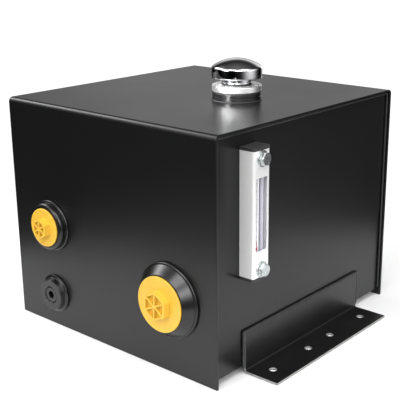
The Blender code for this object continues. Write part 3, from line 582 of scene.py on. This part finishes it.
def pipe_plug(node, flange, front, back, reach, corner, turn, bore, look):
    """Moulded plug: rimmed flange, ribbed hexagon head, hollow skirt."""
    web = front - 5
    skirt = bore - 0.3
    taper = 0.94
    mesh = lathe(node + "_moulded", [
        (0, front - 0.25), (flange - 2.6, front - 0.25), (flange - 2.1, front, 0.3),
        (flange, front, 0.9), (flange, back, 0.5), (skirt, back), (skirt - 0.4, -3, 0.4),
        (skirt - 1.8, -3, 0.4), (skirt - 1.8, web, 1.0), (0, web)], 144, False)
    item = port_item(node + "_moulded", node, mesh)
    turned = math.radians(30) + turn
    hexagon = [(corner * math.cos(turned + math.tau * k / 6),
                corner * math.sin(turned + math.tau * k / 6), corner * 0.09) for k in range(6)]
    head = prism("head", arc_line(hexagon), front - 1, reach, upright, 0.6 * MM, taper)
    carve(item, head, operation="UNION")
    flats = corner * taper * math.cos(math.radians(30))
    hub, rim = 2.0, 2.2
    size = (flats - hub - rim) * 2 / 3
    pockets = []
    for index in range(6):
        angle = math.tau * index / 6 + turn
        centre = Vector((math.cos(angle), math.sin(angle))) * (hub + size)
        wedge = [(centre.x + size * math.cos(angle + math.pi + math.tau * k / 3),
                  centre.y + size * math.sin(angle + math.pi + math.tau * k / 3), size * 0.1)
                 for k in range(3)]
        pockets.append(prism("pocket", arc_line(wedge), reach - 4, reach + 2, upright))
    carve(item, *pockets)
    soften(item, 0.35, 2, 50)
    return show(item, look, node, "yellow_plastic", node)


# ---------------------------------------------------------------- filler and cap


def filler_item(name, corners, look, body, slot, *nodes, steps=160, closed=True, bore=None):
    """A piece turned about the filler's axis, its heights measured up from the tank's top.
    bore is the profile of the three screw holes through it."""
    neck = middle("filler_neck")
    item = item_of(name, lathe(name, corners, steps, closed), (neck.x, neck.y, TOP))
    if bore:
        holes = []
        for index in (1, 2, 3):
            hole = lathe("hole", bore, 32, False)
            hole.transform(Matrix.Translation(middle(f"flange_screw_{index}")
                                              * Vector((1, 1, 0)) - Vector((neck.x, neck.y, 0))))
            holes.append(hole)
        carve(item, *holes)
    return show(item, look, body, slot, *nodes)


def filler():
    filler_item("neck_turned", [
        (30.5, 9.4, 0.5), (30.5, 6.4, 0.2), (29.9, 6.0, 0.2), (29.9, 5.2, 0.2),
        (30.5, 4.8, 0.2), (30.5, 0.3), (24.5, 0.3), (24.5, -6), (20.3, -6), (20.3, 9.4, 0.4)],
        "gloss_paint", "tank", "black_paint", "filler_neck",
        bore=[(0, 1), (2.3, 1), (2.3, 12), (0, 12)])
    filler_item("neck_gasket_cut", [(30.5, 11.1, 0.3), (30.5, 9.7, 0.3), (21.3, 9.7),
                                    (21.3, 11.1)], "rubber", "tank", "rubber", "neck_gasket",
                bore=[(0, 5), (2.6, 5), (2.6, 15), (0, 15)])
    filler_item("flange_turned", [
        (30.8, 18.7, 1.1), (30.8, 11.4, 0.7), (22.6, 11.4), (22.6, 12.8), (16, 12.8),
        (16, 18.7, 0.6)], "bright_steel", "tank", "bright_steel", "filler_flange",
        bore=[(0, 9), (2.6, 9), (2.6, 15.8), (4.6, 18.5), (4.9, 19.5), (0, 19.5)])
    filler_item("cap_gasket_ring", [(18.7, 20.1, 0.3), (18.7, 19, 0.3), (15, 19), (15, 20.1)],
                "rubber", "cap_seal", "rubber", "cap_gasket", steps=96)
    filler_item("waist_pressed", [
        (19, 42), (19, 22.6, 0.4), (18.2, 21.9, 0.5), (18.6, 20.9, 0.5), (17.6, 20.4, 0.4),
        (4, 20.4), (4, 21.6), (17.4, 21.6, 0.5), (17.8, 23.2, 0.6), (17.8, 42)],
        "chrome", "cap", "chrome", "cap_waist")
    crown, below = 53, -2               # the dome's radius and its centre's height
    dome = []
    for step in range(13):
        radius = 29.7 * step / 12
        dome.append((radius, below + math.sqrt(crown ** 2 - radius ** 2)))
    for degrees in range(48, -1, -8):
        angle = math.radians(degrees)
        dome.append((27.5 + 4 * math.cos(angle), 38.6 + 4 * math.sin(angle)))
    skirt = [(31.5, 29.4), (31.3, 28.6), (31.5, 28.2), (31.3, 27.7), (30.9, 27.5),
             (30.5, 27.7), (30.5, 29), (30.5, 38)]
    inside = []
    for step in range(7):
        radius = 27.4 * (1 - step / 6)
        inside.append((radius, below + math.sqrt((crown - 1) ** 2 - radius ** 2)))
    filler_item("cap_pressed", dome + skirt + inside, "chrome", "cap", "chrome",
                "breather_cap", closed=False)


def neck_bead():
    """A fine rippled fillet round the neck's foot."""
    low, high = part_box("neck_weld")
    leg = (high.z - low.z) / MM
    mesh = lathe("neck_weld_bead", [(30.6, 0.3), (30.6 + leg, 0.3, 0.2), (30.6 + 0.45 * leg, 0.3
                                    + 0.45 * leg, 0.4), (30.6, 0.3 + leg, 0.2)], 256)
    for vert in mesh.vertices:
        around = math.atan2(vert.co.y, vert.co.x)
        ripple = 0.1 * MM * math.sin(72 * around + 1.5 * math.sin(3 * around))
        vert.co.z += ripple * 0.5 * (vert.co.z > 0.4 * MM)
        vert.co.xy *= 1 - max(0.0, ripple) * 2
    item = item_of("neck_weld_bead", mesh, (middle("filler_neck").x, middle("filler_neck").y, TOP))
    show(item, "weld", "tank", "black_paint", "neck_weld")


def flange_screw(node):
    centre = middle(node)
    mesh = lathe(node + "_driven", [(0, 18.35), (3.0, 18.25, 1.0), (3.9, 17.9, 0.2),
                                    (2.0, 15.6, 0.2), (2.0, 2), (0, 2)], 48, False)
    item = item_of(node + "_driven", mesh, (centre.x, centre.y, TOP))
    cross = [rounded_box("cross", size, (0, 0, 18.2), 0, 0) for size in
             ((3.6, 0.9, 2.4), (0.9, 3.6, 2.4))]
    carve(item, *cross)
    return show(item, "zinc", "tank", "zinc", node)


# ---------------------------------------------------------------- level gauge


def gauge_item(name, mesh):
    """Gauge meshes are in millimetres about the gauge's middle on the side plate."""
    low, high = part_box("gauge_housing")
    return item_of(name, mesh, (low.x - 0.3 * MM, (low.y + high.y) / 2, (low.z + high.z) / 2))


def gauge():
    low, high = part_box("gauge_housing")
    reach = (high.x - low.x) / MM + 0.3
    half, tall = (high.y - low.y) / MM / 2, (high.z - low.z) / MM / 2
    wall = 1.8
    bolt_pitch = 127.0
    outline = arc_line([
        (0.3, -half), (reach, -half, 2.6), (reach, half, 2.6), (0.3, half),
        (0.3, half - wall), (reach - wall, half - wall, 0.8), (reach - wall, -half + wall, 0.8),
        (0.3, -half + wall)])
    mesh = prism("gauge_channel", outline, -tall, tall, upright, 0.35 * MM)
    item = gauge_item("gauge_channel", mesh)
    window = rounded_box("window", (19.5, 84, 12), (0, 0, 0), 0.8, 0)
    window.transform(Matrix.Translation(Vector((reach, 0, 0)) * MM)
                     @ Matrix.Rotation(math.radians(90), 4, "Y")
                     @ Matrix.Rotation(math.radians(90), 4, "Z"))
    cutters = [window]
    for side in (-1, 1):
        hole = lathe("hole", [(0, 0), (5.2, 0), (5.2, 40), (0, 40)], 48, False)
        hole.transform(Matrix.Translation(Vector((0, 0, side * bolt_pitch / 2)) * MM)
                       @ Matrix.Rotation(math.radians(90), 4, "Y"))
        cutters.append(hole)
    carve(item, *cutters)
    soften(item, 0.3, 2, 60)
    show(item, "silver", "tank", "gauge_silver", "gauge_housing")
    for node, side in (("gauge_top_cap", 1), ("gauge_bottom_cap", -1)):
        over = 0.6 if side > 0 else 0.0
        outline = arc_line([(0.3, -half - over), (reach + over, -half - over, 3.0),
                            (reach + over, half + over, 3.0), (0.3, half + over)])
        start, end = sorted((side * (tall + 0.3), side * (tall + 3.9)))
        mesh = prism(node + "_moulded", outline, start, end, upright, 0.7 * MM, segments=3)
        item = gauge_item(node + "_moulded", mesh)
        show(item, "grey_plastic", "tank", "gauge_plastic", node)
    marks()
    sight_tube()
    for level, side in (("upper", 1), ("lower", -1)):
        gauge_bolt(level, side)


def sight_tube():
    low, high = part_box("gauge_sight_tube")
    half = (high.z - low.z) / MM / 2
    mesh = lathe("sight_tube_drawn", [(2.7, half, 0.3), (2.7, -half, 0.3), (1.8, -half, 0.2),
                                      (1.8, half, 0.2)], 64)
    item = item_of("sight_tube_drawn", mesh, (low + high) / 2)
    show(item, "clear", "tank", "clear_tube", "gauge_sight_tube")


def marks():
    """Printed ticks on the scale, with no figures."""
    low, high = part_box("gauge_scale_plate")
    bm = bmesh.new()
    spacing = 2.18
    for index in range(-16, 17):
        z = (low.z + high.z) / 2 + index * spacing * MM
        major = index % 4 == 0
        long, thick = (2.6, 1.1) if major else (1.2, 0.4)
        centre = Vector((high.x + 0.04 * MM, high.y - (4.9 - long / 2) * MM, z))
        matrix = (Matrix.Translation(centre)
                  @ Matrix.Diagonal((0.05 * MM, long * MM, thick * MM, 1)))
        bmesh.ops.create_cube(bm, size=1, matrix=matrix)
    item = item_of("gauge_scale_marks", to_mesh(bm, "gauge_scale_marks"))
    show(item, "print", "tank", "scale_white")


def gauge_bolt(level, side):
    """A hexagon bolt through the gauge, and its washer."""
    bolt, washer = f"gauge_{level}_bolt", f"gauge_{level}_washer"
    low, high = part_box(washer)
    centre = (low + high) / 2
    where = (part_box("gauge_housing")[0].x - 0.3 * MM, centre.y, centre.z)
    thick = (high.x - low.x) / MM
    face = (low.x - where[0]) / MM
    ring = lathe(washer + "_turned", [(9.2, face + thick, 0.4), (9.2, face, 0.2), (5.2, face),
                                      (5.2, face + thick, 0.3)], 96)
    item = item_of(washer + "_turned", ring, where, TO_RIGHT)
    show(item, "zinc", "tank", "zinc", washer)
    base = face + thick + 0.3
    head, across_flats = 5.0, 14
    corner = across_flats / math.sqrt(3)
    turn = 0.35 if side > 0 else 0.1    # how the two heads happened to stop
    hexagon = arc_line([(corner * math.cos(turn + math.tau * k / 6),
                         corner * math.sin(turn + math.tau * k / 6), 0.35) for k in range(6)])
    item = item_of(bolt + "_head", prism(bolt + "_head", hexagon, base, base + head, upright),
                   where, TO_RIGHT)
    dome = lathe("dome", [(0, base - 1), (9, base - 1), (9, base + head - 1.3),
                          (6.7, base + head, 0.5), (0, base + head)], 96, False)
    carve(item, dome, operation="INTERSECT")
    shank = lathe("shank", [(0, -14), (4.4, -14), (4.9, -13.5), (4.9, base + 1), (0, base + 1)],
                  48, False)
    carve(item, shank, operation="UNION")
    soften(item, 0.25, 2, 40)
    show(item, "zinc", "tank", "zinc", bolt)


# ---------------------------------------------------------------- carried-over CAD nodes

CARRIED = {
    "right_side_plate": "paint", "left_side_plate": "paint", "bottom_plate": "paint",
    "baffle_plate": "bare_steel", "strainer_basket": "zinc",
    "filter_retainer": "zinc", "breather_element": "foam", "cap_rivet": "zinc",
    "drain_magnet": "magnet", "gauge_upper_block": "block", "gauge_lower_block": "block",
    "gauge_scale_plate": "scale", "thermometer_glass": "glass", "thermometer_column": "red",
    "gauge_upper_seal": "rubber", "gauge_lower_seal": "rubber",
    "gauge_upper_nut": "zinc", "gauge_lower_nut": "zinc",
}


def dress_carried():
    for node, look in CARRIED.items():
        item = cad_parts[node]
        item.data.materials.clear()
        item.data.materials.append(LOOKS[look])


# ---------------------------------------------------------------- build

tank_wrapper()
for node in ("right_mount_angle", "left_mount_angle"):
    mount_angle(node)
for node in ("right_seam_weld", "left_seam_weld"):
    seam_bead(node)
for hand in ("right", "left"):
    for end in ("front", "rear"):
        angle_bead(f"{hand}_angle_{end}_weld")
suction_port()
return_port()
drain_port()
pipe_plug("suction_plug", 33.3, 17.3, 15.3, 25.3, 19, math.radians(-4), 30.15, "yellow")
pipe_plug("return_plug", 24.6, 14.0, 12.0, 21.7, 14, 0, 21.1, "yellow")
filler()
neck_bead()
for index in (1, 2, 3):
    flange_screw(f"flange_screw_{index}")
gauge()
dress_carried()

# ---------------------------------------------------------------- studio


FLOOR_RADIUS = 0.5
FLOOR_CENTRE = (0.03, 0.0)
FLOOR_DROP = 0.0004                     # below the feet, so that no faces coincide


def floor():
    mesh = bpy.data.meshes.new("floor")
    bm = bmesh.new()
    bmesh.ops.create_circle(bm, cap_ends=True, segments=128, radius=FLOOR_RADIUS)
    bm.to_mesh(mesh)
    bm.free()
    item = item_of("floor", mesh, (*FLOOR_CENTRE, -FLOOR_DROP))
    material = surface("floor_paper", ((0.80, 0.80, 0.80), (0.83, 0.83, 0.83)), (0.6, 0.75),
                       [(120, 4e-5, None)], cloud=2)
    mesh.materials.append(material)


def softbox(name, where, aim, size, power):
    """A rectangular lamp that the camera doesn't see."""
    light = bpy.data.lights.new(name, "AREA")
    light.shape = "RECTANGLE"
    light.size, light.size_y = size
    light.energy = power
    item = bpy.data.objects.new(name, light)
    item.location = where
    item.rotation_euler = (Vector(aim) - Vector(where)).to_track_quat("-Z", "Y").to_euler()
    item.visible_camera = False
    bpy.context.scene.collection.objects.link(item)
    return item


def snoot(name, aim, angles, power):
    """A narrow beam from a metre away, at an azimuth and an elevation."""
    around, up = (math.radians(a) for a in angles)
    way = Vector((math.cos(up) * math.cos(around), math.cos(up) * math.sin(around), math.sin(up)))
    light = bpy.data.lights.new(name, "SPOT")
    light.energy = power
    light.spot_size = math.radians(4.5)
    light.spot_blend = 0.3
    light.shadow_soft_size = 0.04
    item = bpy.data.objects.new(name, light)
    item.location = Vector(aim) + way
    item.rotation_euler = way.to_track_quat("Z", "Y").to_euler()
    bpy.context.scene.collection.objects.link(item)


# Soft areas of the room: azimuth, elevation, tightness, strength
GLOWS = (
    # behind the object, mirrored in its top
    (105, 3, 60, 1.8), (105, 18, 60, 0.75), (120, 18, 60, 0.5), (135, 3, 60, 0.2),
    (135, 18, 60, 0.7), (150, 3, 60, 0.3),
    # to the right, for the gauge and the cap
    (0, 10, 18, 1.3), (22, 10, 18, 1.8), (45, 15, 40, 0.3), (40, -30, 60, 1.5),
    # in front, for the ports and the cap
    (255, 20, 50, 8.4), (315, 20, 50, 5.5), (319, 30, 60, 7.5),
    # to the left, mirrored in the front bend
    (190, 38, 60, 11.0), (200, 15, 40, 0.4), (225, 40, 40, 2.9),
    # overhead
    (0, 90, 6, 0.2), (0, 55, 30, 3.5),
)
# Small lamps over the floor, seen in no reflection: x, y, size, spread, watts
FLOOR_LAMPS = (
    (-0.4, 0.4, 0.3, 90, 1.6), (0.35, 0.35, 0.3, 90, 0.3), (0.35, -0.05, 0.25, 70, 0.45),
    (-0.1, -0.45, 0.25, 70, 0.25), (-0.42, -0.25, 0.25, 70, 0.25),
)
# Softboxes: where, what they point at, size, watts
SOFTBOXES = (
    ((0.38, -1.06, 1.3), (0.05, -0.15, 0.15), (0.75, 0.55), 9.5),
    ((1.5, -0.6, 0.9), (0.05, -0.1, 0.2), (0.6, 0.9), 2.6),
    ((-0.3, -1.45, 0.95), (0.05, -0.15, 0.2), (0.5, 1.3), 3.5),
)
LAMP_HEIGHT = 0.75

floor()
for x, y, size, spread, watts in FLOOR_LAMPS:
    lamp = softbox("floor_lamp", (x, y, LAMP_HEIGHT), (x, y + 0.001, 0), (size, size), watts)
    lamp.data.spread = math.radians(spread)
    lamp.visible_glossy = False
for where, aim, size, watts in SOFTBOXES:
    softbox("softbox", where, aim, size, watts)
snoot("snoot", (0.059, -0.022, 0.306), (-92, 22), 260.0)


def room():
    """White behind the object; for reflections and light, a dim room with soft bright areas."""
    world = bpy.data.worlds.new("studio")
    bpy.context.scene.world = world
    world.use_nodes = True
    tree = world.node_tree
    tree.nodes.clear()
    way = add(tree, "TexCoord").outputs["Generated"]
    total = None
    for azimuth, elevation, tightness, strength in GLOWS:
        around, up = math.radians(azimuth), math.radians(elevation)
        dot = add(tree, "VectorMath", operation="DOT_PRODUCT")
        dot.inputs[1].default_value = (math.cos(up) * math.cos(around),
                                       math.cos(up) * math.sin(around), math.sin(up))
        tree.links.new(way, dot.inputs[0])
        fall = add(tree, "Math", operation="MULTIPLY_ADD")
        fall.inputs[1].default_value = tightness
        fall.inputs[2].default_value = -tightness
        tree.links.new(dot.outputs["Value"], fall.inputs[0])
        glow = add(tree, "Math", operation="EXPONENT")
        tree.links.new(fall.outputs[0], glow.inputs[0])
        scaled = add(tree, "Math", operation="MULTIPLY_ADD")
        scaled.inputs[1].default_value = strength
        scaled.inputs[2].default_value = 0.0
        tree.links.new(glow.outputs[0], scaled.inputs[0])
        if total:
            tree.links.new(total, scaled.inputs[2])
        total = scaled.outputs[0]
    seen = add(tree, "Background", Strength=1.0)
    seen.inputs["Color"].default_value = (1.1, 1.1, 1.1, 1)     # over 1, so that it stays white
    lit = add(tree, "Background")
    lit.inputs["Color"].default_value = (1, 1, 1, 1)
    tree.links.new(total, lit.inputs["Strength"])
    path = add(tree, "LightPath")
    mixed = add(tree, "MixShader")
    out = tree.nodes.new("ShaderNodeOutputWorld")
    tree.links.new(path.outputs["Is Camera Ray"], mixed.inputs[0])
    tree.links.new(lit.outputs[0], mixed.inputs[1])
    tree.links.new(seen.outputs[0], mixed.inputs[2])
    tree.links.new(mixed.outputs[0], out.inputs["Surface"])


room()

bpy.context.scene.view_settings.view_transform = "Standard"

# The camera was solved from the box's visible corners
camera_data = bpy.data.cameras.new("camera")
camera_data.sensor_width = 36
camera_data.lens = 78.666
camera_data.shift_x = -0.07446
camera = bpy.data.objects.new("camera", camera_data)
CAMERA_FROM_FRONT = -0.65898            # from the tank's front face, along Y
camera.location = (0.74188, FRONT + CAMERA_FROM_FRONT, 0.49258)
camera.rotation_euler = tuple(math.radians(v) for v in (72.84295, 0.08269, 39.85956))
bpy.context.scene.collection.objects.link(camera)
bpy.context.scene.camera = camera
